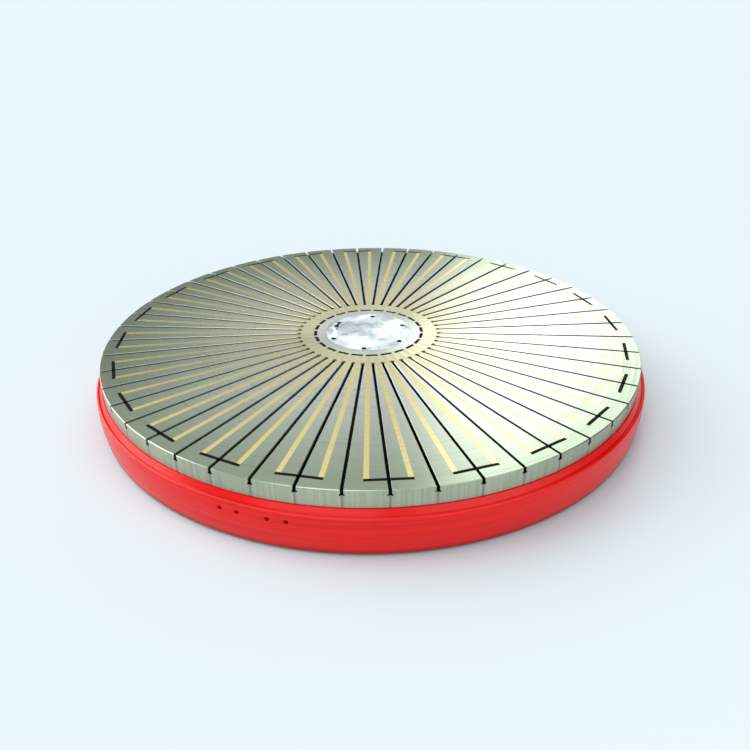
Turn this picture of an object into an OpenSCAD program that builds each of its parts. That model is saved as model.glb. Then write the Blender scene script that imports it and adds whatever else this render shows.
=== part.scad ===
// Magnetic rotary table: a round electromagnetic face with radial poles and T-slots,
// turning on a ball slewing ring inside a low cast base.
// The origin is the centre of the underside and +Z points up, out of the working face.

/* [Working face] */
// Diameter of the working face
face_d = 2000; // [1980:10:2020]
// Thickness of the face plate
plate_t = 60; // [56:1:66]
// Number of magnet poles round the face
poles = 24; // [20:2:26]
// Chamfer round the rim of the face
rim_chamfer = 2; // [1:0.5:3]

/* [T-slots] */
// Width of a slot's neck
slot_neck = 10; // [8:1:11]
// Width of a slot's head
slot_head = 16; // [14:1:17]
// Height of a slot's head
slot_head_h = 7; // [6:1:8]
// Full depth of a slot
slot_depth = 21; // [18:1:24]
// Chamfer along a slot's two top edges
slot_chamfer = 0.8; // [0.4:0.1:1.2]
// Radius at which the slots begin
slot_start_r = 270; // [268:1:290]
// Diameter of the round entry for T-bolts
slot_entry_d = 17; // [16:0.5:18]

/* [Pole windows] */
// Width of a brass strip beside a pole
strip_w = 16; // [14:1:16]
// Thickness of the filler bar at each end of a pole
filler_t = 12; // [8:1:13]
// Radius of the inner filler bars' centre line
inner_filler_r = 205; // [204:1:208]
// Distance from the rim to the outer filler bars' centre line
outer_filler_in = 48; // [46:1:56]

/* [Hub cover] */
// Diameter of the centre cover
cover_d = 328; // [320:2:330]
// Thickness of the centre cover
cover_t = 10; // [8:1:12]
// Depth of the cover's top below the working face
cover_sink = 1.5; // [1:0.5:3]
// Number of screws in the cover
cover_screws = 6; // [6:1:8]
// Pitch circle of the cover's screws
cover_pcd = 290; // [284:2:292]
// Angle of the first cover screw
cover_screw_angle = 20; // [0:1:59]

/* [Magnet body] */
// Thickness of the yoke plate under the coils
yoke_t = 30; // [28:1:34]
// Height of the coil space between yoke and face plate
coil_h = 54; // [50:1:60]
// Thickness of a coil's winding
coil_leg = 30; // [20:1:30]
// Smallest distance from the axis to a pole core
core_start_r = 410; // [408:1:430]
// Largest distance from the axis to a pole core
core_end_r = 910; // [880:5:910]

/* [Bearing] */
// Height of the slewing ring between base and yoke
bearing_h = 56; // [54:1:60]
// Radius of the circle of ball centres
ball_pitch_r = 390; // [388:1:392]
// Diameter of a ball
ball_d = 28; // [26:1:28]
// Number of balls
balls = 60; // [48:2:60]

/* [Base] */
// Thickness of the base's floor
floor_t = 20; // [18:1:24]
// Gap between the turning face plate and the base's ledge
rim_gap = 1.5; // [1:0.5:3]
// Distance that the base stands out past the face plate at its widest
belly_out = 28; // [27:1:32]
// Radius of the wall's gentle outward curve
belly_round = 360; // [340:10:600]
// Height of the widest place on the wall
belly_z = 98; // [90:1:110]
// Height of the sloping neck between the shoulder and the ledge
neck_h = 17; // [12:1:24]
// Distance that the neck's top stands out past the face plate
neck_out = 4; // [2:1:6]
// Radius of the shoulder under the neck
shoulder_round = 7; // [5:1:10]
// Radius of the round along the foot
foot_round = 20; // [16:1:22]
// Number of ribs on the base's floor, and of the bolt bosses between them
ribs = 12; // [10:1:12]

/* [Side holes] */
// Angle of the middle of the four side holes
side_angle = 248; // [246:1:250]
// Angle from that middle to the middle of each pair
side_pair_angle = 4.2; // [4:0.1:5]
// Angle from a pair's middle to each of its holes
side_hole_angle = 1.55; // [1.3:0.05:1.8]
// Height of the side holes
side_hole_z = 112; // [100:1:118]
// Depth of a side hole
side_hole_depth = 26; // [20:1:28]

/* [Hidden] */
fine = 180;
medium = 48;
// Free space: round a screw, round a piece in a recess, and between turning and still faces
screw_play = 0.25;
fit_play = 0.5;
turning_play = 0.3;
// How far a cutting shape runs past the face that it opens, and how far joined shapes overlap
over = 5;
lap = 1;

// Screw sizes: shank radius, head radius, head height
m8 = [4, 6.5, 8];
m10 = [5, 10, 5];
m12 = [6, 9, 12];
m16 = [8, 12, 16];
m16_tap_r = 7;
m20_tap_r = 8.75;
// A countersunk head lies this far below its face, clear of its seat
head_sink = 0.3;
seat_play = 0.05;
// Socket of a countersunk screw: radius and depth, as shares of the shank's radius
sunk_socket = [0.7, 0.6];
// A cap screw's head pocket is this much wider and deeper than the head
head_play = 1;
// Free depth past a screw's end, and metal left past a blind hole
end_gap = 2;
blind_wall = 2;

// Radii
face_r = face_d / 2;
yoke_r = face_r - 15;
yoke_rim_in_r = yoke_r - 30;
rim_screw_r = yoke_r - 15;
base_bore_r = face_r - 7;
hub_bore_r = 110;
hub_ring_r = 190;
hub_screw_r = 150;
hub_screw_count = 12;
yoke_bore_r = 60;
outer_filler_r = face_r - outer_filler_in;
cover_r = cover_d / 2;
pole_screw_rs = [520, 800];

// Heights
bearing_z = floor_t;
yoke_z = bearing_z + bearing_h;
coil_z = yoke_z + yoke_t;
plate_z = coil_z + coil_h;
face_z = plate_z + plate_t;
ledge_z = plate_z - rim_gap;
slot_z = face_z - slot_depth;
gasket_t = 1;
gasket_inset = 4;
cover_top_z = face_z - cover_sink;
cover_seat_z = cover_top_z - cover_t - gasket_t;
// Depths of the tapped holes in the face plate and poles, under the cover, and in the yoke
face_tap_depth = 26;
cover_tap_depth = 18;
yoke_tap_depth = 24;
// Length of the screws that pull the face down on the yoke
long_screw = plate_z + face_tap_depth - end_gap - (yoke_z + head_play + m16[2]);

// A pole's sides follow the radial lines at this angle from its own centre line
side_slope = 90 / poles;
pole_pitch = 360 / poles;

// Base wall: the outward curve meets the foot's round and the shoulder's round
neck_z = ledge_z - neck_h;
belly_centre_r = face_r + belly_out - belly_round;
foot_r = wall_r(foot_round) - foot_round;
shoulder_z = neck_z - shoulder_round;
shoulder_r = wall_r(shoulder_z) - shoulder_round;
neck_groove = 4;
neck_foot_r = shoulder_r - neck_groove;
neck_top_r = face_r + neck_out;
seal_seat_r = face_r - 0.5;
seal_t = 5;
rib_t = 18;
rib_start_r = 470;
rib_top_z = yoke_z - 10;
boss_r = 28;
boss_pitch_r = face_r - 40;
boss_top_z = rib_top_z;
foot_bolt_depth = 50;
floor_opening_r = 320;
cover_rebate_r = 350;
bottom_cover_t = 10;
bottom_screw_r = 336;
bottom_screws = 12;
hub_seal_w = 10;
hub_seal_inset = 1;
side_hole_sink = 2;
channel_w = 26;
channel_z = 8;
channel_end_r = 950;

// Slewing ring
ring_gap = 3;
ring_h = bearing_h - 6;
ring_wall = 58;
ball_z = bearing_z + bearing_h / 2;
ring_screws = 24;
outer_ring_screw_r = ball_pitch_r + 40;
inner_ring_screw_r = ball_pitch_r - 40;
outer_ring_top = bearing_z + ring_h;
inner_ring_bottom = yoke_z - ring_h;
ring_seal_t = 4;
spacer_r = ball_d * 0.36;
spacer_play = 0.4;

// Pole cores, bobbins and coils
core_inset = strip_w / 2 + 3;
core_play = 0.3;
bobbin_wall = 3;
flange_t = 2;

// Slip rings and brushes
slip_rs = [225, 265];
slip_w = 30;
slip_t = 6;
carrier_t = 12;
carrier_margin = 10;
carrier_z = yoke_z - carrier_t;
slip_z = carrier_z - slip_t;
bus_w = 20;
bus_z = coil_z + 14;
bus_heights = [12, 6];
stud_r = 6;
bush_wall = 2.75;
stud_angles = [0, 180];
link_w = 8;
link_offset = 10;
link_t = 3;
brush_size = [16, 30, 24];
brush_gap = 0.1;
brush_z = slip_z - brush_gap - brush_size[2];
brush_socket_z = bottom_cover_t + 4;
spring_h = brush_z - brush_socket_z;
spring_r = 6;
spring_turns = 4;
wire_r = 0.9;
wire_sides = 6;
wire_steps = 14;
brush_block = [100, 60, 40];
terminal_block = [40, 90, 30];
terminal_block_r = 925;
terminal_pitch = 20;
terminal_r = 6;
lead_r = 4;
lead_z = bottom_cover_t + lead_r + fit_play;
lead_spread = 8;
lead_inset = 10;

// Drive hub
drive_r = 85;
drive_flange_r = 130;
drive_flange_t = 20;
drive_bore_r = 30;
drive_lift = 6;
drive_bolt_r = 60;
drive_bolts = 8;
drive_tap_depth = 30;
drive_screw_r = 110;

// Radius of the base's curved wall at height z
function wall_r(z) = belly_centre_r + sqrt(belly_round * belly_round - (z - belly_z) * (z - belly_z));

// Half width of a pole-shaped wedge at distance x, its sides moved inwards by inset
function half_w(x, inset) = x * tan(side_slope) - inset / cos(side_slope);

// Copies its children to n places round the axis, the first at angle start
module around(n, start = 0) {
    for (i = [0 : n - 1]) rotate(start + i * 360 / n) children();
}

// A flat ring between two radii, from height z up
module ring(r_in, r_out, z, h, smooth = fine) {
    translate([0, 0, z]) difference() {
        cylinder(r = r_out, h = h, $fn = smooth);
        translate([0, 0, -over]) cylinder(r = r_in, h = h + 2 * over, $fn = smooth);
    }
}

// A round hole or pin at distance r from the axis, from height z up
module post(r, radius, z, h) {
    translate([r, 0, z]) cylinder(r = radius, h = h, $fn = medium);
}

// Outline of a wedge with a pole's slope, from x1 to x2, its sides moved inwards by inset
module wedge(x1, x2, inset) {
    polygon([
        [x1, half_w(x1, inset)], [x1, -half_w(x1, inset)],
        [x2, -half_w(x2, inset)], [x2, half_w(x2, inset)],
    ]);
}

// The same wedge with its four corners cut off
module cut_wedge(x1, x2, inset, cut) {
    intersection() {
        wedge(x1, x2, inset);
        polygon([
            [x1, half_w(x1, inset + cut)], [x1, -half_w(x1, inset + cut)],
            [x1 + cut, -half_w(x1 + cut, inset)], [x2 - cut, -half_w(x2 - cut, inset)],
            [x2, -half_w(x2, inset + cut)], [x2, half_w(x2, inset + cut)],
            [x2 - cut, half_w(x2 - cut, inset)], [x1 + cut, half_w(x1 + cut, inset)],
        ]);
    }
}

// The space of one T-slot along +X, from x1 to x2
module t_slot(x1, x2) {
    neck = slot_neck / 2;
    head = slot_head / 2;
    translate([x1, 0, slot_z]) rotate([90, 0, 90]) linear_extrude(x2 - x1) polygon([
        [-head, 0], [head, 0], [head, slot_head_h], [neck, slot_head_h],
        [neck, slot_depth - slot_chamfer], [neck + slot_chamfer, slot_depth],
        [neck + slot_chamfer, slot_depth + over], [-neck - slot_chamfer, slot_depth + over],
        [-neck - slot_chamfer, slot_depth], [-neck, slot_depth - slot_chamfer],
        [-neck, slot_head_h], [-head, slot_head_h],
    ]);
}

// A slot that begins at its round entry and runs out past the rim
module entered_slot() {
    t_slot(slot_start_r, face_r + over);
    post(slot_start_r, slot_entry_d / 2, slot_z, slot_depth + over);
}

// A socket-head screw standing on its head at height z, at distance r from the axis
module cap_screw(r, size, z, length) {
    difference() {
        union() {
            post(r, size[1], z, size[2]);
            post(r, size[0], z, size[2] + length);
        }
        translate([r, 0, z - over]) cylinder(r = size[0], h = over + size[2] / 2, $fn = 6);
    }
}

// The space for such a screw: a wide mouth for the head, then a clearance hole up to z_end
module cap_screw_hole(r, size, z, z_end) {
    post(r, size[1] + head_play, z - over, over + size[2] + head_play);
    post(r, size[0] + screw_play, z, z_end - z);
}

// A countersunk screw in a face at height z, head_sink below it, pointing up or down
module sunk_screw(r, size, z, length, up) {
    head_r = size[1] - head_sink - seat_play;
    translate([r, 0, z]) mirror([0, 0, up ? 0 : 1]) translate([0, 0, head_sink]) difference() {
        union() {
            cylinder(r1 = head_r, r2 = size[0], h = head_r - size[0], $fn = medium);
            cylinder(r = size[0], h = length, $fn = medium);
        }
        translate([0, 0, -over])
            cylinder(r = size[0] * sunk_socket[0], h = over + size[0] * sunk_socket[1], $fn = 6);
    }
}

// The space for it, in a face at height z
module sunk_screw_hole(r, size, z, length, up) {
    translate([r, 0, z]) mirror([0, 0, up ? 0 : 1]) {
        cylinder(r1 = size[1], r2 = size[0], h = size[1] - size[0], $fn = medium);
        translate([0, 0, -over]) cylinder(r = size[0] + screw_play, h = length + over, $fn = medium);
    }
}

// ---- Base, which stands still ----

module base_section() {
    difference() {
        union() {
            translate([floor_opening_r, 0]) square([foot_r - floor_opening_r, floor_t]);
            translate([base_bore_r, 0]) square([foot_r - base_bore_r, foot_round]);
            intersection() {
                translate([foot_r, foot_round]) circle(r = foot_round, $fn = medium);
                translate([foot_r, 0]) square(foot_round);
            }
            intersection() {
                translate([belly_centre_r, belly_z]) circle(r = belly_round, $fn = fine);
                translate([base_bore_r, foot_round])
                    square([belly_out + face_r - base_bore_r, shoulder_z - foot_round]);
            }
            translate([base_bore_r, shoulder_z])
                square([shoulder_r - base_bore_r, shoulder_round]);
            intersection() {
                translate([shoulder_r, shoulder_z]) circle(r = shoulder_round, $fn = medium);
                translate([shoulder_r, shoulder_z]) square(shoulder_round);
            }
            polygon([
                [base_bore_r, neck_z - lap], [neck_foot_r, neck_z - lap], [neck_foot_r, neck_z],
                [neck_top_r, ledge_z], [base_bore_r, ledge_z],
            ]);
        }
        // Rebate for the bottom cover, seat for the rim seal and the groove round the neck's foot
        translate([floor_opening_r - over, -over])
            square([cover_rebate_r - floor_opening_r + over, bottom_cover_t + over]);
        translate([base_bore_r - over, ledge_z - seal_t])
            square([seal_seat_r - base_bore_r + over, seal_t + over]);
        translate([neck_foot_r, neck_z]) rotate(45) square(neck_groove, center = true);
    }
}

module side_holes() {
    for (pair = [-1, 1], side = [-1, 1])
        rotate(side_angle + pair * side_pair_angle + side * side_hole_angle)
            translate([wall_r(side_hole_z), 0, side_hole_z]) rotate([0, -90, 0]) {
                translate([0, 0, -over])
                    cylinder(r = m16_tap_r, h = side_hole_depth + over, $fn = medium);
                cylinder(r1 = m16_tap_r + side_hole_sink, r2 = m16_tap_r, h = side_hole_sink, $fn = medium);
            }
}

module base_housing() {
    color("crimson") difference() {
        union() {
            rotate_extrude($fn = fine) base_section();
            around(ribs) translate([rib_start_r, -rib_t / 2, floor_t - lap])
                cube([base_bore_r + lap - rib_start_r, rib_t, rib_top_z - floor_t + lap]);
            around(ribs, 180 / ribs) post(boss_pitch_r, boss_r, floor_t - lap, boss_top_z - floor_t + lap);
        }
        side_holes();
        around(ribs, 180 / ribs) post(boss_pitch_r, m20_tap_r, -over, foot_bolt_depth + over);
        around(ring_screws) post(outer_ring_screw_r, m12[0] + screw_play, blind_wall, floor_t);
        around(bottom_screws) post(bottom_screw_r, m8[0] + screw_play, 0, floor_t - blind_wall);
        rotate(side_angle) translate([floor_opening_r - over, -channel_w / 2, channel_z])
            cube([channel_end_r - floor_opening_r + over, channel_w, floor_t - channel_z + over]);
    }
}

module bottom_cover() {
    color("dimgray") difference() {
        ring(drive_r + hub_seal_w, cover_rebate_r - fit_play, 0, bottom_cover_t);
        around(bottom_screws) sunk_screw_hole(bottom_screw_r, m8, 0, bottom_cover_t + over, true);
    }
}

module bottom_cover_screws() {
    color("silver") around(bottom_screws)
        sunk_screw(bottom_screw_r, m8, 0, floor_t - blind_wall - end_gap - head_sink, true);
}

module rim_seal() {
    color("black") ring(yoke_r + fit_play, seal_seat_r - fit_play, ledge_z - seal_t, seal_t);
}

module hub_seal() {
    color("black")
        ring(drive_r + turning_play, drive_r + hub_seal_w,
             hub_seal_inset, bottom_cover_t - 2 * hub_seal_inset);
}

// ---- Slewing ring ----

module race_groove() {
    rotate_extrude($fn = fine) translate([ball_pitch_r, ball_z])
        circle(r = ball_d / 2 + turning_play, $fn = medium);
}

module bearing_outer_ring() {
    color("slategray") difference() {
        ring(ball_pitch_r + ring_gap / 2, ball_pitch_r + ring_gap / 2 + ring_wall, bearing_z, ring_h);
        race_groove();
        around(ring_screws) {
            post(outer_ring_screw_r, m12[0] + screw_play, bearing_z - over, ring_h);
            post(outer_ring_screw_r, m12[1] + head_play, outer_ring_top - m12[2] - head_play,
                 m12[2] + head_play + over);
        }
    }
}

module bearing_inner_ring() {
    color("lightslategray") difference() {
        ring(ball_pitch_r - ring_gap / 2 - ring_wall, ball_pitch_r - ring_gap / 2,
             inner_ring_bottom, ring_h);
        race_groove();
        around(ring_screws)
            cap_screw_hole(inner_ring_screw_r, m12, inner_ring_bottom, yoke_z + over);
    }
}

module bearing_balls() {
    color("silver") around(balls) translate([ball_pitch_r, 0, ball_z])
        sphere(r = ball_d / 2, $fn = medium);
}

module ball_spacers() {
    spacer_len = 2 * (ball_pitch_r * sin(180 / balls) - spacer_play) - ball_d;
    color("ivory") around(balls, 180 / balls)
        translate([ball_pitch_r * cos(180 / balls), spacer_len / 2, ball_z])
            rotate([90, 0, 0]) cylinder(r = spacer_r, h = spacer_len, $fn = medium);
}

module bearing_seals() {
    r_in = ball_pitch_r - ring_gap / 2 + turning_play;
    r_out = ball_pitch_r + ring_gap / 2 - turning_play;
    color("black") {
        ring(r_in, r_out, outer_ring_top - ring_seal_t, ring_seal_t);
        ring(r_in, r_out, inner_ring_bottom, ring_seal_t);
    }
}

module bearing_base_screws() {
    head_z = outer_ring_top - head_play;
    color("dimgray") around(ring_screws) translate([0, 0, head_z]) mirror([0, 0, 1])
        cap_screw(outer_ring_screw_r, m12, 0, head_z - m12[2] - blind_wall - end_gap);
}

module bearing_table_screws() {
    head_z = inner_ring_bottom + head_play;
    color("dimgray") around(ring_screws)
        cap_screw(inner_ring_screw_r, m12, head_z, yoke_z + yoke_tap_depth - end_gap - head_z - m12[2]);
}

// ---- Magnet body, which turns ----

module yoke_plate() {
    color("gray") difference() {
        ring(yoke_bore_r, yoke_r, yoke_z, yoke_t);
        around(poles, side_slope) cap_screw_hole(rim_screw_r, m16, yoke_z, coil_z + over);
        around(hub_screw_count, 180 / hub_screw_count)
            cap_screw_hole(hub_screw_r, m16, yoke_z, coil_z + over);
        around(poles) for (r = pole_screw_rs) cap_screw_hole(r, m16, yoke_z, coil_z + over);
        around(ring_screws)
            post(inner_ring_screw_r, m12[0] + screw_play, yoke_z - over, over + yoke_tap_depth);
        around(drive_bolts) post(drive_screw_r, m16[0] + screw_play, yoke_z - over, over + yoke_tap_depth);
        for (i = [0, 1]) rotate(stud_angles[i])
            post(slip_rs[i], stud_r + bush_wall + screw_play, yoke_z - over, yoke_t + 2 * over);
    }
}

module yoke_rim_ring() {
    color("gray") difference() {
        ring(yoke_rim_in_r, yoke_r, coil_z, coil_h);
        around(poles, side_slope) post(rim_screw_r, m16[0] + screw_play, coil_z - over, coil_h + 2 * over);
    }
}

module yoke_hub_ring() {
    color("gray") difference() {
        ring(hub_bore_r, hub_ring_r, coil_z, coil_h);
        around(hub_screw_count, 180 / hub_screw_count)
            post(hub_screw_r, m16[0] + screw_play, coil_z - over, coil_h + 2 * over);
    }
}

module pole_cores() {
    color("gray") around(poles) difference() {
        translate([0, 0, coil_z]) linear_extrude(coil_h) wedge(core_start_r, core_end_r, core_inset);
        for (r = pole_screw_rs) post(r, m16[0] + screw_play, coil_z - over, coil_h + 2 * over);
    }
}

// Outline of the space that a bobbin leaves for its core
module bobbin_hole() {
    wedge(core_start_r - core_play, core_end_r + core_play, core_inset - core_play);
}

// Outline of a bobbin's tube
module bobbin_tube() {
    wedge(core_start_r - bobbin_wall, core_end_r + bobbin_wall, core_inset - bobbin_wall);
}

// Outline of a coil's outside, and of the bobbin's flanges
module coil_outline() {
    grow = bobbin_wall + coil_leg;
    cut_wedge(core_start_r - grow, core_end_r + grow, core_inset - grow, coil_leg / 2);
}

module coil_bobbins() {
    color("darkgoldenrod") around(poles) translate([0, 0, coil_z]) difference() {
        union() {
            linear_extrude(coil_h) bobbin_tube();
            linear_extrude(flange_t) coil_outline();
            translate([0, 0, coil_h - flange_t]) linear_extrude(flange_t) coil_outline();
        }
        translate([0, 0, -over]) linear_extrude(coil_h + 2 * over) bobbin_hole();
    }
}

module coils() {
    color("chocolate") around(poles) translate([0, 0, coil_z + flange_t])
        linear_extrude(coil_h - 2 * flange_t) difference() {
            coil_outline();
            bobbin_tube();
        }
}

module coil_links() {
    coil_end_r = core_start_r - bobbin_wall - coil_leg;
    color("peru") around(poles) for (i = [0, 1])
        translate([slip_rs[i], (i == 0 ? 1 : -1) * link_offset - link_w / 2, bus_z + bus_heights[i]])
            cube([coil_end_r - slip_rs[i], link_w, link_t]);
}

module bus_insulator() {
    color("saddlebrown") difference() {
        ring(slip_rs[0] - bus_w, slip_rs[1] + bus_w, coil_z, bus_z - coil_z);
        for (i = [0, 1]) rotate(stud_angles[i])
            post(slip_rs[i], stud_r + screw_play, coil_z - over, bus_z - coil_z + 2 * over);
    }
}

module bus_ring(i) {
    color("peru") ring(slip_rs[i] - bus_w / 2, slip_rs[i] + bus_w / 2, bus_z, bus_heights[i]);
}

// ---- Working face ----

module faceplate() {
    color("lightgray") difference() {
        rotate_extrude($fn = fine) difference() {
            translate([hub_bore_r, plate_z]) square([face_r - hub_bore_r, plate_t]);
            translate([face_r, face_z]) rotate(45)
                square(rim_chamfer * sqrt(2), center = true);
            translate([hub_bore_r - over, cover_seat_z])
                square([cover_r + fit_play - hub_bore_r + over, plate_t]);
        }
        around(poles) translate([0, 0, plate_z - over]) linear_extrude(plate_t + 2 * over)
            wedge(inner_filler_r - filler_t / 2, outer_filler_r + filler_t / 2, -strip_w / 2);
        around(poles) t_slot(outer_filler_r, face_r + over);
        around(poles, pole_pitch / 2) entered_slot();
        around(poles, side_slope)
            post(rim_screw_r, m16[0] + screw_play, plate_z - over, face_tap_depth + over);
        around(hub_screw_count, 180 / hub_screw_count)
            post(hub_screw_r, m16[0] + screw_play, plate_z - over, face_tap_depth + over);
        around(cover_screws, cover_screw_angle)
            post(cover_pcd / 2, m10[0] + screw_play, cover_seat_z - cover_tap_depth, cover_tap_depth + over);
    }
}

module pole_pieces() {
    color("lightgray") around(poles) difference() {
        translate([0, 0, plate_z]) linear_extrude(plate_t)
            wedge(inner_filler_r + filler_t / 2, outer_filler_r - filler_t / 2, strip_w / 2);
        entered_slot();
        for (r = pole_screw_rs) post(r, m16[0] + screw_play, plate_z - over, face_tap_depth + over);
    }
}

module brass_strips() {
    color("khaki") around(poles) translate([0, 0, plate_z]) linear_extrude(plate_t) difference() {
        wedge(inner_filler_r + filler_t / 2, outer_filler_r - filler_t / 2, -strip_w / 2);
        wedge(inner_filler_r, outer_filler_r, strip_w / 2);
    }
}

// A filler bar across the end of a pole window, centred at distance x
module filler(x) {
    translate([0, 0, plate_z]) linear_extrude(plate_t)
        wedge(x - filler_t / 2, x + filler_t / 2, -strip_w / 2);
}

module outer_fillers() {
    color("darkslategray") around(poles) difference() {
        filler(outer_filler_r);
        t_slot(outer_filler_r - filler_t, outer_filler_r + filler_t);
    }
}

module inner_fillers() {
    color("darkslategray") around(poles) filler(inner_filler_r);
}

module hub_cover() {
    color("gainsboro") difference() {
        translate([0, 0, cover_seat_z + gasket_t]) cylinder(r = cover_r, h = cover_t, $fn = fine);
        around(cover_screws, cover_screw_angle)
            sunk_screw_hole(cover_pcd / 2, m10, cover_top_z, cover_t + over, false);
    }
}

module hub_cover_gasket() {
    color("black") difference() {
        ring(hub_bore_r + gasket_inset, cover_r - gasket_inset, cover_seat_z, gasket_t);
        around(cover_screws, cover_screw_angle)
            post(cover_pcd / 2, m10[0] + screw_play, cover_seat_z - over, 2 * over);
    }
}

module hub_cover_screws() {
    length = cover_t + gasket_t + cover_tap_depth - end_gap - head_sink;
    color("dimgray") around(cover_screws, cover_screw_angle)
        sunk_screw(cover_pcd / 2, m10, cover_top_z, length, false);
}

// ---- Screws that hold the magnet body together ----

module rim_screws() {
    color("dimgray") around(poles, side_slope)
        cap_screw(rim_screw_r, m16, yoke_z + head_play, long_screw);
}

module hub_screws() {
    color("dimgray") around(hub_screw_count, 180 / hub_screw_count)
        cap_screw(hub_screw_r, m16, yoke_z + head_play, long_screw);
}

module pole_screws() {
    color("dimgray") around(poles) for (r = pole_screw_rs)
        cap_screw(r, m16, yoke_z + head_play, long_screw);
}

// ---- Drive hub ----

module drive_hub() {
    color("gray") difference() {
        union() {
            translate([0, 0, yoke_z - drive_flange_t])
                cylinder(r = drive_flange_r, h = drive_flange_t, $fn = fine);
            translate([0, 0, drive_lift])
                cylinder(r = drive_r, h = yoke_z - drive_flange_t - drive_lift + lap, $fn = fine);
        }
        cylinder(r = drive_bore_r, h = yoke_z + over, $fn = fine);
        around(drive_bolts) {
            post(drive_screw_r, m16[0] + screw_play, yoke_z - drive_flange_t - over,
                 drive_flange_t + 2 * over);
            post(drive_bolt_r, m16_tap_r, drive_lift - over, drive_tap_depth + over);
        }
    }
}

module drive_hub_screws() {
    length = drive_flange_t + yoke_tap_depth - end_gap;
    color("dimgray") around(drive_bolts)
        cap_screw(drive_screw_r, m16, yoke_z - drive_flange_t - m16[2], length);
}

// ---- Slip rings and brushes ----

module slip_ring_carrier() {
    color("saddlebrown") difference() {
        ring(slip_rs[0] - slip_w / 2 - carrier_margin, slip_rs[1] + slip_w / 2 + carrier_margin,
             carrier_z, carrier_t);
        for (i = [0, 1]) rotate(stud_angles[i])
            post(slip_rs[i], stud_r + screw_play, carrier_z - over, carrier_t + 2 * over);
    }
}

module slip_ring(i) {
    color("peru") ring(slip_rs[i] - slip_w / 2, slip_rs[i] + slip_w / 2, slip_z, slip_t);
}

module slip_ring_studs() {
    color("peru") for (i = [0, 1]) rotate(stud_angles[i])
        post(slip_rs[i], stud_r, carrier_z, bus_z - carrier_z);
}

module stud_bushes() {
    color("ivory") for (i = [0, 1]) rotate(stud_angles[i]) difference() {
        post(slip_rs[i], stud_r + bush_wall, yoke_z, yoke_t);
        post(slip_rs[i], stud_r + screw_play, yoke_z - over, yoke_t + 2 * over);
    }
}

// The middle of a brush, at the height z
module at_brush(i, z) {
    rotate(side_angle) translate([slip_rs[i], 0, z]) children();
}

// A block standing on height z at a brush's place, with free space round it
module brush_block_shape(play, h) {
    translate([-brush_size[0] / 2 - play, -brush_size[1] / 2 - play, 0])
        cube([brush_size[0] + 2 * play, brush_size[1] + 2 * play, h]);
}

module brush_holder() {
    middle_r = (slip_rs[0] + slip_rs[1]) / 2;
    color("saddlebrown") difference() {
        rotate(side_angle)
            translate([middle_r - brush_block[0] / 2, -brush_block[1] / 2, bottom_cover_t])
                cube(brush_block);
        for (i = [0, 1]) at_brush(i, brush_socket_z) brush_block_shape(turning_play, brush_block[2]);
    }
}

module brush(i) {
    color("darkslategray") at_brush(i, brush_z) brush_block_shape(0, brush_size[2]);
}

// Point of a spring's wire: step i along the helix, corner j round the wire
function wire_point(i, j) =
    let (turned = i * 360 / wire_steps, round = j * 360 / wire_sides,
         out = spring_r + wire_r * cos(round))
    [out * cos(turned), out * sin(turned),
     wire_r * (1 + sin(round)) + i * (spring_h - 2 * wire_r) / (wire_steps * spring_turns)];

// A helical compression spring between the socket's floor and the brush
module brush_spring(i) {
    last = wire_steps * spring_turns;
    color("silver") at_brush(i, brush_socket_z) polyhedron(
        points = [for (k = [0 : last], j = [0 : wire_sides - 1]) wire_point(k, j)],
        faces = concat(
            [[for (j = [0 : wire_sides - 1]) j]],
            [[for (j = [wire_sides - 1 : -1 : 0]) last * wire_sides + j]],
            [for (k = [0 : last - 1], j = [0 : wire_sides - 1]) let (next = (j + 1) % wire_sides)
                [k * wire_sides + j, (k + 1) * wire_sides + j,
                 (k + 1) * wire_sides + next, k * wire_sides + next]]
        )
    );
}

// ---- Terminals and internal leads ----

module terminal_board() {
    color("saddlebrown") rotate(side_angle)
        translate([terminal_block_r, -terminal_block[1] / 2, floor_t]) cube(terminal_block);
}

module terminal_screws() {
    color("gold") rotate(side_angle) for (i = [-1.5 : 1 : 1.5])
        translate([terminal_block_r + terminal_block[0] / 2, i * terminal_pitch, floor_t + terminal_block[2]])
            cylinder(r = terminal_r, h = terminal_r, $fn = 6);
}

module brush_leads() {
    start_r = (slip_rs[0] + slip_rs[1]) / 2 + brush_block[0] / 2;
    end_r = terminal_block_r + lead_inset;
    color("red") rotate(side_angle) for (y = [-lead_spread, lead_spread]) translate([0, y, 0]) {
        translate([start_r, 0, lead_z]) rotate([0, 90, 0])
            cylinder(r = lead_r, h = end_r - start_r, $fn = medium);
        translate([end_r, 0, lead_z]) sphere(r = lead_r, $fn = medium);
        translate([end_r, 0, lead_z]) cylinder(r = lead_r, h = floor_t - lead_z, $fn = medium);
    }
}

base_housing();
bottom_cover();
bottom_cover_screws();
rim_seal();
hub_seal();
bearing_outer_ring();
bearing_inner_ring();
bearing_balls();
ball_spacers();
bearing_seals();
bearing_base_screws();
bearing_table_screws();
yoke_plate();
yoke_rim_ring();
yoke_hub_ring();
pole_cores();
coil_bobbins();
coils();
coil_links();
bus_insulator();
bus_ring(0);  // bus_ring_inner
bus_ring(1);  // bus_ring_outer
faceplate();
pole_pieces();
brass_strips();
outer_fillers();
inner_fillers();
hub_cover();
hub_cover_gasket();
hub_cover_screws();
rim_screws();
hub_screws();
pole_screws();
drive_hub();
drive_hub_screws();
slip_ring_carrier();
slip_ring(0);  // slip_ring_inner
slip_ring(1);  // slip_ring_outer
slip_ring_studs();
stud_bushes();
brush_holder();
brush(0);  // brush_inner
brush(1);  // brush_outer
brush_spring(0);  // brush_spring_inner
brush_spring(1);  // brush_spring_outer
terminal_board();
terminal_screws();
brush_leads();
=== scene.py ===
"""Magnetic rotary table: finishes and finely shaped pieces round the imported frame."""

import math

import bmesh
import bpy
from mathutils import Matrix, Vector


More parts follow.
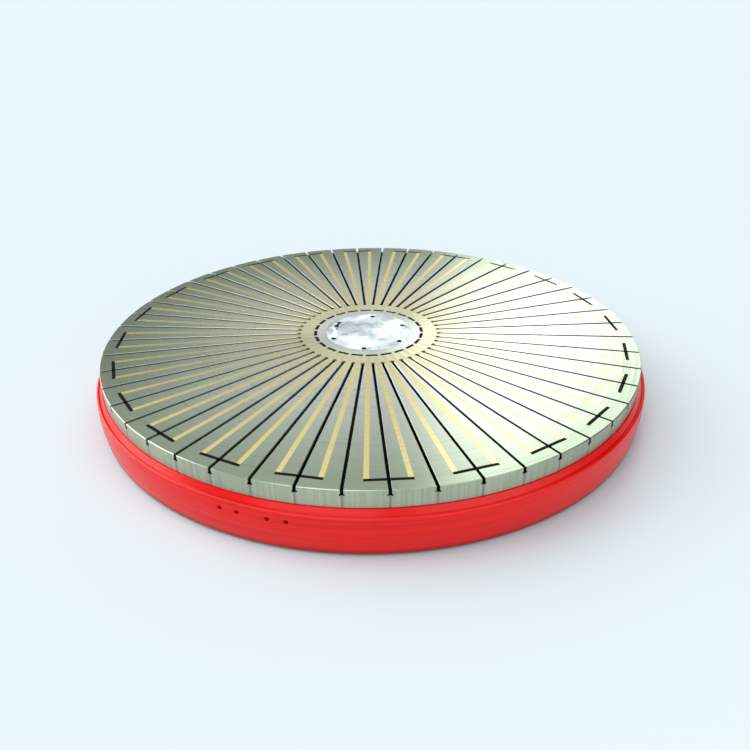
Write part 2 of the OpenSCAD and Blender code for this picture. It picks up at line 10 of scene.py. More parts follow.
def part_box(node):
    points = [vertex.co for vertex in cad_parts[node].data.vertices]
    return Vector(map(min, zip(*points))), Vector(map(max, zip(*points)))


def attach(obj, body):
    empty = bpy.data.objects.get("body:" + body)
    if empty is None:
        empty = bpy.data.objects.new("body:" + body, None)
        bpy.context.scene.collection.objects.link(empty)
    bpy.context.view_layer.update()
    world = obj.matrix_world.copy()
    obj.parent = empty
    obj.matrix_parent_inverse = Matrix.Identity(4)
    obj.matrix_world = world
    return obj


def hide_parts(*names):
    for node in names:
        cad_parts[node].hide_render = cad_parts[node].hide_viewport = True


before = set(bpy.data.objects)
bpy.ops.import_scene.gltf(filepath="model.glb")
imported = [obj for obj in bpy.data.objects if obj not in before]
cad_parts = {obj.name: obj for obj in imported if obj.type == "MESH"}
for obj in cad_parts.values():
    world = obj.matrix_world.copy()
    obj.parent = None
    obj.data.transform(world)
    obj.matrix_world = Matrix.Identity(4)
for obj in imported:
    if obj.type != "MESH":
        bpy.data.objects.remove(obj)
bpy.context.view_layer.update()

bl_info = {
    "name": "Magnetic Rotary Table",
    "version": (1, 0, 0),
    "blender": (4, 5, 0),
    "location": "View3D > Sidebar > Rotary Table",
    "description": "Shapes and finishes a magnetic rotary table round its packed frame",
    "category": "Object",
}

MM = 0.001
FACE_LOW, FACE_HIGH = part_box("faceplate")
SEAL_LOW, SEAL_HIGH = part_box("rim_seal")
BASE_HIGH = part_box("base_housing")[1]
COVER_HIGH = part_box("hub_cover")[1]
FLOOR_COVER_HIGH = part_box("bottom_cover")[1]
GASKET_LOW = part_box("hub_cover_gasket")[0]
BEARING_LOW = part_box("bearing_outer_ring")[0]
YOKE_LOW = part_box("yoke_plate")[0]
FACE_R = FACE_HIGH.x
PAST = 5 * MM  # how far a cutting shape runs past the face that it opens
OVERLAP = 1 * MM  # how far a joined shape runs into the one that it joins
CREASE = math.radians(30)  # edges sharper than this stay sharp


def linear(code):
    """The linear colour of an sRGB hex code."""
    parts = [int(code[i : i + 2], 16) / 255 for i in (0, 2, 4)]
    return [p / 12.92 if p <= 0.04045 else ((p + 0.055) / 1.055) ** 2.4 for p in parts]


def colour(name, code, note):
    """A colour property whose default is an sRGB hex code."""
    return bpy.props.FloatVectorProperty(
        name=name, description=note, default=linear(code), subtype="COLOR", min=0, max=1
    )


def length(name, millimetres, note):
    """A length property whose default is given in millimetres."""
    return bpy.props.FloatProperty(
        name=name, description=note, default=millimetres * MM, unit="LENGTH", min=0
    )


def angle(name, degrees, note):
    """An angle property whose default is given in degrees."""
    return bpy.props.FloatProperty(
        name=name, description=note, default=math.radians(degrees), subtype="ANGLE"
    )


class TableColours(bpy.types.PropertyGroup):
    enamel: colour("Enamel", "dc0a06", "Red machine enamel on the base")
    enamel_deep: colour("Enamel, thick", "c00a08", "Enamel where it lies thicker")
    steel: colour("Ground steel", "b3bfa7", "Ground face of the magnet, near the rim")
    steel_dark: colour("Steel, dull", "a3af98", "Duller grinding marks")
    # Painted sheen: the steel's colour near the centre, lighter to stand in for its reflection
    steel_painted_sheen: colour("Steel, bright", "f6faee", "Less worn steel, near the centre")
    # Colour of the narrow darker streak drawn down the rim under each slot
    slot_streak: colour("Coolant stain", "8a927f", "Grey runs of coolant on the rim, under the slots")
    # Painted shade: near black for the shade deep in the slots, with old coolant; also the filler's dark
    # speckle
    slot: colour("Slot walls", "060605", "Milled slot walls, black with old coolant")
    brass: colour("Brass", "fbf2b4", "Brass strips ground flush with the steel")
    brass_dark: colour("Brass, dull", "ecd88c", "Duller marks on the brass")
    filler: colour("Filler", "0a0b09", "Cast resin bars at the ends of the poles")
    cover: colour("Cover", "e9f0f2", "Turned aluminium centre cover")
    cover_stain: colour("Cover stain", "b9c6ca", "Stains on the centre cover")
    black_oxide: colour("Black oxide", "24262a", "Blackened screws")
    iron: colour("Magnet iron", "6d7072", "Machined soft iron inside")
    copper: colour("Copper", "c47a52", "Coils and rings")
    laminate: colour("Laminate", "6f4420", "Brown phenolic laminate")
    bearing: colour("Bearing steel", "8f9398", "Ground bearing rings")
    ball: colour("Balls", "c4c7cb", "Polished steel balls")
    spring: colour("Spring wire", "9a9da2", "Drawn spring wire")
    terminal: colour("Terminal brass", "cba64a", "Turned brass screws")
    nylon: colour("Nylon", "ddd8c6", "Natural nylon")
    rubber: colour("Rubber", "17171a", "Seal rubber")
    gasket: colour("Gasket", "1d1c1b", "Gasket rubber")
    graphite: colour("Graphite", "2a2a2d", "Pressed graphite")
    paint: colour("Black paint", "1c1d1f", "Satin black paint")
    insulation: colour("Insulation", "7d1712", "Dark red wire insulation")
    floor: colour("Floor", "c8d1d5", "Pale studio floor")


class TableFace(bpy.types.PropertyGroup):
    poles: bpy.props.IntProperty(
        name="Poles", description="Number of magnet poles", default=24, min=20, max=26
    )
    strip: length("Brass strip", 16, "Width of the brass strip beside a pole")
    filler: length("Filler bar", 12, "Thickness of the bar at each end of a pole")
    inner_bar: length("Inner bars", 205, "Radius of the inner filler bars")
    outer_bar: length("Outer bars", 952, "Radius of the outer filler bars")
    chamfer: length("Rim chamfer", 2, "Chamfer round the rim")
    bore: length("Centre bore", 110, "Radius of the bore under the centre cover")
    play: length("Cover play", 0.5, "Gap round the centre cover")
    neck: length("Slot neck", 10, "Width of a T-slot's neck")
    head: length("Slot head", 16, "Width of a T-slot's head")
    head_height: length("Slot head height", 7, "Height of a T-slot's head")
    depth: length("Slot depth", 21, "Full depth of a T-slot")
    edge: length("Slot chamfer", 0.8, "Chamfer along a slot's top edges")
    start: length("Slot start", 270, "Radius at which the slots begin")
    entry: length("Slot entry", 8.5, "Radius of a slot's round entry")
    # Painted shade: slot walls are bare steel down to the first depth and painted black from the second
    bare: length("Bare wall", 5, "Depth down to which a slot's walls are bare steel")
    black: length("Black wall", 9, "Depth from which a slot's walls are black")
    lay: length("Grinding lay", 5, "Spacing of the grinding lines, drawn coarse enough to show")


class TableBase(bpy.types.PropertyGroup):
    belly_height: length("Belly height", 98, "Height of the wall's widest place")
    belly_round: length("Belly round", 360, "Radius of the wall's outward curve")
    foot_round: length("Foot round", 20, "Radius of the round along the foot")
    shoulder_round: length("Shoulder round", 7, "Radius of the shoulder under the neck")
    neck: length("Neck height", 17, "Height of the sloping neck above the shoulder")
    neck_out: length("Neck top", 4, "Distance that the neck's top stands out past the face")
    groove: length("Neck groove", 4, "Width of the groove round the neck's foot")
    bore: length("Base bore gap", 7, "Gap from the rim of the face in to the base's bore")
    opening: length("Floor opening", 320, "Radius of the opening in the floor")
    rib: length("Rib", 18, "Thickness of a rib on the floor")
    rib_start: length("Rib start", 470, "Radius at which the ribs begin")
    rib_count: bpy.props.IntProperty(
        name="Ribs", description="Number of ribs and of foot bolts", default=12
    )
    rib_drop: length("Rib drop", 10, "Height of the yoke above the ribs")
    boss: length("Boss", 28, "Radius of a foot bolt's boss")
    foot_bolt_circle: length("Foot bolt circle", 960, "Radius of the circle of foot bolts")
    foot_bolt: length("Foot bolt hole", 8.75, "Radius of a foot bolt's tapped hole")
    foot_bolt_depth: length("Foot bolt depth", 50, "Depth of a foot bolt's hole")
    hole: length("Side hole radius", 7, "Radius of the tapped holes in the wall")
    hole_sink: length("Side hole sink", 2, "Depth of a side hole's countersink")
    hole_height: length("Side hole height", 112, "Height of the side holes")
    hole_depth: length("Side hole depth", 26, "Depth of the side holes")
    hole_middle: angle("Side hole angle", 248, "Angle of the middle of the four holes")
    hole_pair: angle("Pair angle", 4.2, "Angle from that middle to each pair")
    hole_step: angle("Hole angle", 1.55, "Angle from a pair's middle to each hole")


class TableStage(bpy.types.PropertyGroup):
    azimuth: angle("Azimuth", -3.1, "Turn of the camera round the table")
    elevation: angle("Elevation", 25.05, "Height of the camera above the face")
    pan: angle("Pan", -0.86, "Camera's turn to the right of the centre")
    tilt: angle("Tilt", -5.09, "Camera's turn up from the centre")
    roll: angle("Roll", -0.69, "Camera's roll")
    shift_x: bpy.props.FloatProperty(
        name="Shift X", description="Sideways shift of the frame", default=0.022
    )
    shift_y: bpy.props.FloatProperty(
        name="Shift Y", description="Upward shift of the frame", default=0.0265
    )
    distance: bpy.props.FloatProperty(
        name="Distance", description="From the camera to the face's centre", default=2.777, unit="LENGTH"
    )
    lens: bpy.props.FloatProperty(
        name="Lens", description="Focal length on a 36 mm wide sensor, in millimetres", default=34.18
    )
    fill: bpy.props.FloatProperty(
        name="Fill", description="Power of the softbox at the front right", default=20
    )
    surround: bpy.props.FloatProperty(
        name="Surround", description="Strength of the walls round the table", default=1.0
    )
    ceiling: bpy.props.FloatProperty(
        name="Ceiling", description="Strength of the pale ceiling", default=2.9
    )


# ---- Node and mesh helpers ----


def add(tree, kind, inputs=None, take=0, **settings):
    """Adds a node, sets its options, sets or links its inputs, and gives back one of its outputs."""
    node = tree.nodes.new(kind)
    for name, value in settings.items():
        setattr(node, name, value)
    for key, value in (inputs or {}).items():
        if isinstance(value, bpy.types.NodeSocket):
            tree.links.new(value, node.inputs[key])
        else:
            node.inputs[key].default_value = value
    return node.outputs[take] if node.outputs else None


def new_material(name, **values):
    """A material with one Principled shader and the given even values on its sockets."""
    material = bpy.data.materials.new(name)
    material.use_nodes = True
    tree = material.node_tree
    tree.nodes.clear()
    even = {key.replace("_", " "): value for key, value in values.items()}
    surface = add(tree, "ShaderNodeBsdfPrincipled", even)
    add(tree, "ShaderNodeOutputMaterial", {"Surface": surface})
    return material, tree, surface.node.inputs


def places(tree):
    """Object position, its distance from the axis, and its three numbers."""
    position = add(tree, "ShaderNodeTexCoord", take="Object")
    flat = add(tree, "ShaderNodeVectorMath", {0: position, 1: (1, 1, 0)}, operation="MULTIPLY")
    radius = add(tree, "ShaderNodeVectorMath", {0: flat}, "Value", operation="LENGTH")
    axes = add(tree, "ShaderNodeSeparateXYZ", {0: position}).node.outputs
    return position, radius, axes


def toned(tree, pattern, light, dark, low=0.35, high=0.65):
    """A colour that goes from light to dark as a pattern rises from low to high."""
    share = add(tree, "ShaderNodeMapRange", {"Value": pattern, 1: low, 2: high})
    ends = [end if isinstance(end, bpy.types.NodeSocket) else (*end, 1) for end in (light, dark)]
    return add(tree, "ShaderNodeMix", {0: share, 6: ends[0], 7: ends[1]}, 2, data_type="RGBA")


def roughened(tree, sockets, pattern, smooth, rough, height=0.0):
    """Lets a pattern drive the roughness, and a bump if that has a height."""
    level = add(tree, "ShaderNodeMapRange", {"Value": pattern, 1: 0.3, 2: 0.7, 3: smooth, 4: rough})
    tree.links.new(level, sockets["Roughness"])
    if height:
        bump = add(tree, "ShaderNodeBump", {"Height": pattern, "Distance": height})
        tree.links.new(bump, sockets["Normal"])


def circular_lay(tree, spacing, run=0.35):
    """Noise in rings a spacing apart, drawn out for a run of metres, as work on a turning table leaves it."""
    position, radius, axes = places(tree)
    across = add(tree, "ShaderNodeMath", {0: radius, 1: spacing}, operation="DIVIDE")
    along = add(tree, "ShaderNodeVectorMath", {0: position, 1: (1 / run, 1 / run, 0)}, operation="MULTIPLY")
    lifted = add(tree, "ShaderNodeCombineXYZ", {2: across})
    vector = add(tree, "ShaderNodeVectorMath", {0: along, 1: lifted}, operation="ADD")
    return add(tree, "ShaderNodeTexNoise", {"Vector": vector, "Scale": 1, "Detail": 4, "Roughness": 0.65})


def across_lay(tree, sockets):
    """Points the highlight across circular tool marks: outwards on a face, upwards on a rim."""
    position = add(tree, "ShaderNodeTexCoord", take="Object")
    flat = add(tree, "ShaderNodeVectorMath", {0: position, 1: (1, 1, 0)}, operation="MULTIPLY")
    outward = add(tree, "ShaderNodeVectorMath", {0: flat}, operation="NORMALIZE")
    upward = add(tree, "ShaderNodeVectorMath", {0: outward, 1: (0, 0, 1)}, operation="ADD")
    tree.links.new(upward, sockets["Tangent"])


def new_piece(name, mesh, material, body, slot, *nodes):
    """An object made from a mesh, riding on a body in place of the named frame nodes."""
    piece = bpy.data.objects.new(name, mesh)
    bpy.context.scene.collection.objects.link(piece)
    piece.data.materials.clear()
    piece.data.materials.append(material)
    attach(piece, body)
    if nodes:
        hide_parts(*nodes)
    return piece


def smoothed(mesh):
    """The mesh, smooth except along its sharper edges."""
    mesh.shade_smooth()
    mesh.set_sharp_from_angle(angle=CREASE)
    return mesh


def finished_mesh(name, shape):
    """A smoothly shaded mesh from a bmesh."""
    mesh = bpy.data.meshes.new(name)
    shape.to_mesh(mesh)
    shape.free()
    return smoothed(mesh)


def smooth_copy(node, name, material, body, slot):
    """A welded, smoothly shaded copy of a frame node, standing for it."""
    shape = bmesh.new()
    shape.from_mesh(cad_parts[node].data)
    bmesh.ops.remove_doubles(shape, verts=shape.verts, dist=1e-6)
    return new_piece(name, finished_mesh(name, shape), material, body, slot, node)


def dress(material, *nodes):
    """Gives frame nodes a finish."""
    for name in nodes:
        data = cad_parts[name].data
        data.materials.clear()
        data.materials.append(material)


def arc(centre, radius, start, end, steps):
    """Points on an arc in the section plane, from one angle to another in degrees."""
    turns = [math.radians(start + (end - start) * i / steps) for i in range(steps + 1)]
    return [(centre[0] + radius * math.cos(t), centre[1] + radius * math.sin(t)) for t in turns]


def turned(outline, steps):
    """A bmesh spun round the Z axis from a closed outline of (radius, height) points."""
    shape = bmesh.new()
    corners = [shape.verts.new((r, 0, z)) for r, z in outline]
    edges = [shape.edges.new((a, b)) for a, b in zip(corners, corners[1:] + corners[:1])]
    bmesh.ops.spin(
        shape, geom=corners + edges, cent=(0, 0, 0), axis=(0, 0, 1),
        angle=math.tau, steps=steps, use_merge=True,
    )
    bmesh.ops.remove_doubles(shape, verts=shape.verts, dist=1e-7)
    bmesh.ops.recalc_face_normals(shape, faces=shape.faces)
    return shape


# ---- Finishes ----


def enamel():
    """Gloss machine enamel, sprayed on a turned casting."""
    # Deep red with a thin wet highlight; faint turning marks show through round the wall
    colours = bpy.context.scene.table_colours
    material, tree, sockets = new_material(
        "red machine enamel", IOR=1.5, Specular_IOR_Level=0.2, Coat_Weight=0.22, Coat_Roughness=0.12
    )
    position, radius, axes = places(tree)
    # Turning marks lie 6 mm apart, coarser than real ones so that they show, and run long round the wall
    squeezed = add(
        tree, "ShaderNodeVectorMath", {0: position, 1: (1.5, 1.5, 1 / (6 * MM))}, operation="MULTIPLY"
    )
    marks = add(tree, "ShaderNodeTexNoise", {"Vector": squeezed, "Scale": 1, "Detail": 3})
    red = toned(tree, marks, colours.enamel, colours.enamel_deep, 0.4, 0.75)
    # Painted shade darkens the foot and thins out 34 mm above the floor
    painted_foot_shade = toned(tree, axes[2], [c * 0.35 for c in colours.enamel_deep], red, 2 * MM, 34 * MM)
    tree.links.new(painted_foot_shade, sockets["Base Color"])
    roughened(tree, sockets, marks, 0.32, 0.46, 0.3 * MM)
    return material


def ground_steel():
    """Mild steel ground on the turning table."""
    # The fine circular lay draws every highlight out into a radial wedge
    colours, sizes = bpy.context.scene.table_colours, bpy.context.scene.table_face
    material, tree, sockets = new_material("ground steel", Metallic=1.0, Anisotropic=0.8)
    position, radius, axes = places(tree)
    lay = circular_lay(tree, sizes.lay)
    lay_tone = toned(tree, lay, colours.steel, colours.steel_dark)
    # Painted sheen: the face is painted lighter inside the inner third, fading out to the grinding lay's tone
    # towards the rim
    face = toned(tree, radius, colours.steel_painted_sheen, lay_tone, 0.3 * FACE_R, 0.95 * FACE_R)
    # The rim has upright streaks 7 mm apart, and a narrow darker streak under each slot
    stretched = add(
        tree, "ShaderNodeVectorMath", {0: position, 1: (1 / (7 * MM), 1 / (7 * MM), 6)}, operation="MULTIPLY"
    )
    streaks = add(tree, "ShaderNodeTexNoise", {"Vector": stretched, "Scale": 1, "Detail": 2})
    streaked = toned(tree, streaks, colours.steel, colours.steel_dark)
    turn = add(tree, "ShaderNodeMath", {0: axes[1], 1: axes[0]}, operation="ARCTAN2")
    pitches = add(tree, "ShaderNodeMath", {0: turn, 1: 2 * sizes.poles / math.tau}, operation="MULTIPLY")
    off = add(tree, "ShaderNodeMath", {0: pitches, 1: 0.5}, operation="PINGPONG")
    width = sizes.neck / (math.tau * FACE_R / (2 * sizes.poles))
    run = toned(tree, off, colours.slot_streak, streaked, width * 0.2, width * 0.5)
    rim = FACE_R - sizes.chamfer / 4
    side = add(tree, "ShaderNodeMath", {0: radius, 1: rim}, operation="GREATER_THAN")
    skin = add(tree, "ShaderNodeMix", {0: side, 6: face, 7: run}, 2, data_type="RGBA")
    # Slot walls are bare at the top edge and painted near black further down: painted shade of the deep
    # slots, with old coolant
    within = FACE_R - 1.5 * sizes.chamfer
    inside = add(tree, "ShaderNodeMath", {0: radius, 1: within}, operation="LESS_THAN")
    heights = {"Value": axes[2], 1: FACE_HIGH.z - sizes.black, 2: FACE_HIGH.z - sizes.bare, 3: 1, 4: 0}
    painted_slot_shade = add(tree, "ShaderNodeMapRange", heights)
    wall = add(tree, "ShaderNodeMath", {0: painted_slot_shade, 1: inside}, operation="MULTIPLY")
    whole = toned(tree, wall, skin, colours.slot, 0, 1)
    tree.links.new(whole, sockets["Base Color"])
    roughened(tree, sockets, lay, 0.26, 0.34)
    across_lay(tree, sockets)
    return material


def ground_brass():
    """Brass ground flush with the steel."""
    # Pale lemon, with the same circular lay as the steel round it
    colours, sizes = bpy.context.scene.table_colours, bpy.context.scene.table_face
    material, tree, sockets = new_material("ground brass", Metallic=1.0, Anisotropic=0.8)
    lay = circular_lay(tree, sizes.lay)
    tree.links.new(toned(tree, lay, colours.brass, colours.brass_dark), sockets["Base Color"])
    roughened(tree, sockets, lay, 0.28, 0.4, 0.02 * MM)
    across_lay(tree, sockets)
    return material


def cast_resin():
    """Dark epoxy casting resin with mineral filler, ground flush."""
    # Nearly black and dull, with a fine speckle of filler
    colours = bpy.context.scene.table_colours
    material, tree, sockets = new_material("cast resin filler", IOR=1.5, Specular_IOR_Level=0.1)
    position = places(tree)[0]
    speckle = add(tree, "ShaderNodeTexNoise", {"Vector": position, "Scale": 1 / (3 * MM), "Detail": 3})
    tree.links.new(toned(tree, speckle, colours.slot, colours.filler), sockets["Base Color"])
    roughened(tree, sockets, speckle, 0.6, 0.8, 0.02 * MM)
    return material


def turned_aluminium():
    """Aluminium plate faced on a lathe."""
    # Pale and bluish with fine circular feed marks, and soft stains about 45 mm across
    colours = bpy.context.scene.table_colours
    material, tree, sockets = new_material("turned aluminium", Metallic=1.0, Anisotropic=0.4)
    position = places(tree)[0]
    lay = circular_lay(tree, 4 * MM, 0.2)
    stains = add(tree, "ShaderNodeTexNoise", {"Vector": position, "Scale": 22, "Detail": 6, "Roughness": 0.6})
    tree.links.new(toned(tree, stains, colours.cover, colours.cover_stain, 0.45, 0.65), sockets["Base Color"])
    roughened(tree, sockets, lay, 0.42, 0.55, 0.005 * MM)
    across_lay(tree, sockets)
    return material


def clouded(name, tint, smooth, rough, grain, **even):
    """One material with a mottle of its own colour down to three quarters, whose patches are grain wide."""
    material, tree, sockets = new_material(name, **even)
    position = places(tree)[0]
    cloud = add(tree, "ShaderNodeTexNoise", {"Vector": position, "Scale": 1 / grain, "Detail": 4})
    tree.links.new(toned(tree, cloud, tint, [c * 0.75 for c in tint]), sockets["Base Color"])
    roughened(tree, sockets, cloud, smooth, rough, 0.03 * MM)
    return material


def machined(name, tint, roughness, grain):
    """A turned or milled metal: even sheen, a little cloudy from the tool and from handling."""
    return clouded(name, tint, roughness - 0.06, roughness + 0.08, grain, Metallic=1.0)


def solid(name, tint, roughness, grain):
    """Rubber, nylon, laminate or paint: one colour with a faint mottle and a dull sheen."""
    return clouded(name, tint, roughness - 0.05, roughness + 0.1, grain, IOR=1.5)


# ---- Pieces ----


def wall_radius(sizes, z):
    """Radius of the base's curved wall at a height."""
    centre = BASE_HIGH.x - sizes.belly_round
    return centre + math.sqrt(sizes.belly_round**2 - (z - sizes.belly_height) ** 2)


def base_outline(sizes):
    """Closed section of the base: foot, curved wall, shoulder, groove, neck, ledge, bore and floor."""
    belly = (BASE_HIGH.x - sizes.belly_round, sizes.belly_height)
    ledge, neck_z = BASE_HIGH.z, BASE_HIGH.z - sizes.neck
    shoulder_z = neck_z - sizes.shoulder_round
    foot = (wall_radius(sizes, sizes.foot_round) - sizes.foot_round, sizes.foot_round)
    shoulder = (wall_radius(sizes, shoulder_z) - sizes.shoulder_round, shoulder_z)
    low = math.degrees(math.asin((sizes.foot_round - belly[1]) / sizes.belly_round))
    high = math.degrees(math.asin((shoulder_z - belly[1]) / sizes.belly_round))
    # The groove is a square turned on its corner, centred where the neck's slope meets the shoulder
    half = sizes.groove / math.sqrt(2)
    neck_foot, neck_top = shoulder[0] - sizes.groove, FACE_R + sizes.neck_out
    share = half / (neck_foot - neck_top + sizes.neck)
    slope = (neck_foot - share * (neck_foot - neck_top), neck_z + share * sizes.neck)
    bore, seat = FACE_R - sizes.bore, SEAL_HIGH.x
    floor_top, cover_top = BEARING_LOW.z, FLOOR_COVER_HIGH.z
    opening, rebate = sizes.opening, FLOOR_COVER_HIGH.x
    return (
        arc(foot, sizes.foot_round, -90, 0, 10)[:-1]
        + arc(belly, sizes.belly_round, low, high, 14)[:-1]
        + arc(shoulder, sizes.shoulder_round, 0, 90, 8)
        + [(neck_foot + half, neck_z), (neck_foot, neck_z - half), (neck_foot - half, neck_z), slope]
        + [(neck_top, ledge), (seat, ledge), (seat, SEAL_LOW.z), (bore, SEAL_LOW.z), (bore, floor_top)]
        + [(opening, floor_top), (opening, cover_top), (rebate, cover_top), (rebate, 0)]
    )


def cylinder(shape, radius, depth, matrix, radius_end=None, segments=32):
    """Adds a closed cylinder or cone that starts at its matrix's origin and runs along its Z."""
    end = radius if radius_end is None else radius_end
    place = matrix @ Matrix.Translation((0, 0, depth / 2))
    bmesh.ops.create_cone(
        shape, cap_ends=True, segments=segments, radius1=radius, radius2=end, depth=depth, matrix=place
    )


def upright(shape, distance, radius, low, high, turn=0.0, segments=32):
    """Adds a closed upright cylinder at a distance from the axis, at an angle round it."""
    place = Matrix.Rotation(turn, 4, "Z") @ Matrix.Translation((distance, 0, low))
    cylinder(shape, radius, high - low, place, segments=segments)


def prism(shape, outline, depth, matrix):
    """Adds a closed prism whose outline lies in its matrix's XY plane, and which runs along its Z."""
    face = shape.faces.new([shape.verts.new(matrix @ Vector((x, y, 0))) for x, y in outline])
    made = bmesh.ops.extrude_face_region(shape, geom=[face])["geom"]
    ends = [item for item in made if isinstance(item, bmesh.types.BMVert)]
    bmesh.ops.translate(shape, verts=ends, vec=matrix.to_3x3() @ Vector((0, 0, depth)))
    bmesh.ops.recalc_face_normals(shape, faces=shape.faces)


def side_hole_cutters(shape, sizes):
    """Adds the four tapped holes' spaces, each with its countersink, pointing in from the wall."""
    out = wall_radius(sizes, sizes.hole_height)
    for pair in (-1, 1):
        for side in (-1, 1):
            turn = sizes.hole_middle + pair * sizes.hole_pair + side * sizes.hole_step
            inward = Matrix.Rotation(turn, 4, "Z") @ Matrix.Translation((out, 0, sizes.hole_height))
            inward = inward @ Matrix.Rotation(-math.pi / 2, 4, "Y")
            cylinder(shape, sizes.hole, sizes.hole_depth, inward)
            mouth = inward @ Matrix.Translation((0, 0, -PAST))
            cylinder(shape, sizes.hole + sizes.hole_sink + PAST, sizes.hole_sink + PAST, mouth, sizes.hole)


def with_boolean(mesh, other, operation):
    """The mesh joined with, or cut by, every closed shape in a bmesh."""
    tool_mesh = bpy.data.meshes.new("tool")
    other.to_mesh(tool_mesh)
    other.free()
    tool = bpy.data.objects.new("tool", tool_mesh)
    work = bpy.data.objects.new("work", mesh)
    for thing in (tool, work):
        bpy.context.scene.collection.objects.link(thing)
    boolean = work.modifiers.new("cut", "BOOLEAN")
    boolean.operation, boolean.solver, boolean.object = operation, "EXACT", tool
    boolean.use_self = True
    graph = bpy.context.evaluated_depsgraph_get()
    result = bpy.data.meshes.new_from_object(work.evaluated_get(graph))
    bpy.data.objects.remove(work)
    bpy.data.objects.remove(tool)
    return smoothed(result)


def face_outline(sizes):
    """Closed section of the face plate, with its rim chamfer and the recess for the cover."""
    low, high, seat = FACE_LOW.z, FACE_HIGH.z, GASKET_LOW.z
    recess, edge = COVER_HIGH.x + sizes.play, sizes.chamfer
    return [
        (sizes.bore, low), (FACE_R, low), (FACE_R, high - edge), (FACE_R - edge, high),
        (recess, high), (recess, seat), (sizes.bore, seat),
    ]


def window_outline(sizes):
    """Outline of a pole's window: its sides slope with the pole and stand half a strip out."""
    slope = math.radians(90 / sizes.poles)
    ends = [sizes.inner_bar - sizes.filler / 2, sizes.outer_bar + sizes.filler / 2]
    inner, outer = (x * math.tan(slope) + sizes.strip / 2 / math.cos(slope) for x in ends)
    return [(ends[0], inner), (ends[0], -inner), (ends[1], -outer), (ends[1], outer)]


def slot_outline(sizes):
    """Section of a T-slot, open at the top."""
    neck, head, edge = sizes.neck / 2, sizes.head / 2, sizes.edge
    half = [
        (head, 0), (head, sizes.head_height), (neck, sizes.head_height),
        (neck, sizes.depth - edge), (neck + edge, sizes.depth), (neck + edge, sizes.depth + PAST),
    ]
    return half + [(-x, z) for x, z in reversed(half)]


def slot_cutter(shape, sizes, start, turn):
    """Adds the space of one T-slot, from a start radius out past the rim."""
    floor = FACE_HIGH.z - sizes.depth
    along = Matrix(((0, 0, 1, start), (1, 0, 0, 0), (0, 1, 0, floor), (0, 0, 0, 1)))
    prism(shape, slot_outline(sizes), FACE_R + PAST - start, Matrix.Rotation(turn, 4, "Z") @ along)


def face_cutters(sizes):
    """The pole windows and the T-slots, as closed shapes to take out of the face plate."""
    shape = bmesh.new()
    floor, pitch = FACE_HIGH.z - sizes.depth, math.tau / sizes.poles
    window = window_outline(sizes)
    for i in range(sizes.poles):
        turn = Matrix.Rotation(i * pitch, 4, "Z") @ Matrix.Translation((0, 0, FACE_LOW.z - PAST))
        prism(shape, window, FACE_HIGH.z - FACE_LOW.z + 2 * PAST, turn)
        slot_cutter(shape, sizes, sizes.outer_bar, i * pitch)
        between = (i + 0.5) * pitch
        slot_cutter(shape, sizes, sizes.start, between)
        upright(shape, sizes.start, sizes.entry, floor, FACE_HIGH.z + PAST, between)
    return shape


def base_additions(sizes):
    """The ribs and bolt bosses on the base's floor."""
    shape = bmesh.new()
    top, start = YOKE_LOW.z - sizes.rib_drop, BEARING_LOW.z - OVERLAP
    wall = FACE_R - sizes.bore + OVERLAP
    half = sizes.rib / 2
    outline = [(sizes.rib_start, -half), (wall, -half), (wall, half), (sizes.rib_start, half)]
    for i in range(sizes.rib_count):
        turn = i * math.tau / sizes.rib_count
        prism(shape, outline, top - start, Matrix.Rotation(turn, 4, "Z") @ Matrix.Translation((0, 0, start)))
        between = turn + math.pi / sizes.rib_count
        upright(shape, sizes.foot_bolt_circle, sizes.boss, start, top, between, segments=48)
    return shape


def base_cutters(sizes):
    """The side holes and the foot bolts' holes."""
    shape = bmesh.new()
    side_hole_cutters(shape, sizes)
    for i in range(sizes.rib_count):
        turn = (i + 0.5) * math.tau / sizes.rib_count
        upright(shape, sizes.foot_bolt_circle, sizes.foot_bolt, -PAST, sizes.foot_bolt_depth, turn)
    return shape


class TABLE_OT_base(bpy.types.Operator):
    """Shape the red base casting, with its side holes"""

    bl_idname = "table.base"
    bl_label = "Base Casting"

    def execute(self, context):
        sizes = context.scene.table_base
        shell = finished_mesh("base_casting", turned(base_outline(sizes), 240))
        ribbed = with_boolean(shell, base_additions(sizes), "UNION")
        mesh = with_boolean(ribbed, base_cutters(sizes), "DIFFERENCE")
        new_piece("base_casting", mesh, enamel(), "base", "red_enamel", "base_housing")
        return {"FINISHED"}


class TABLE_OT_face(bpy.types.Operator):
    """Finish the working face: plate, poles, brass strips and filler bars"""

    bl_idname = "table.face"
    bl_label = "Working Face"

    def execute(self, context):
        sizes = context.scene.table_face
        steel = ground_steel()
        disc = finished_mesh("face_plate", turned(face_outline(sizes), 360))
        mesh = with_boolean(disc, face_cutters(sizes), "DIFFERENCE")
        new_piece("face_plate", mesh, steel, "table", "ground_steel", "faceplate")
        dress(steel, "pole_pieces")
        dress(ground_brass(), "brass_strips")
        dress(cast_resin(), "outer_fillers", "inner_fillers")
        return {"FINISHED"}


class TABLE_OT_hub(bpy.types.Operator):
    """Finish the centre cover and its screws"""

    bl_idname = "table.hub"
    bl_label = "Centre Cover"

    def execute(self, context):
        colours = context.scene.table_colours
        smooth_copy("hub_cover", "centre_cover", turned_aluminium(), "table", "cover_aluminium")
        # Nearly black, with a soft grey sheen
        screws = machined("blackened steel", colours.black_oxide, 0.4, 6 * MM)
        smooth_copy("hub_cover_screws", "cover_screws", screws, "table", "cover_screws")
        return {"FINISHED"}


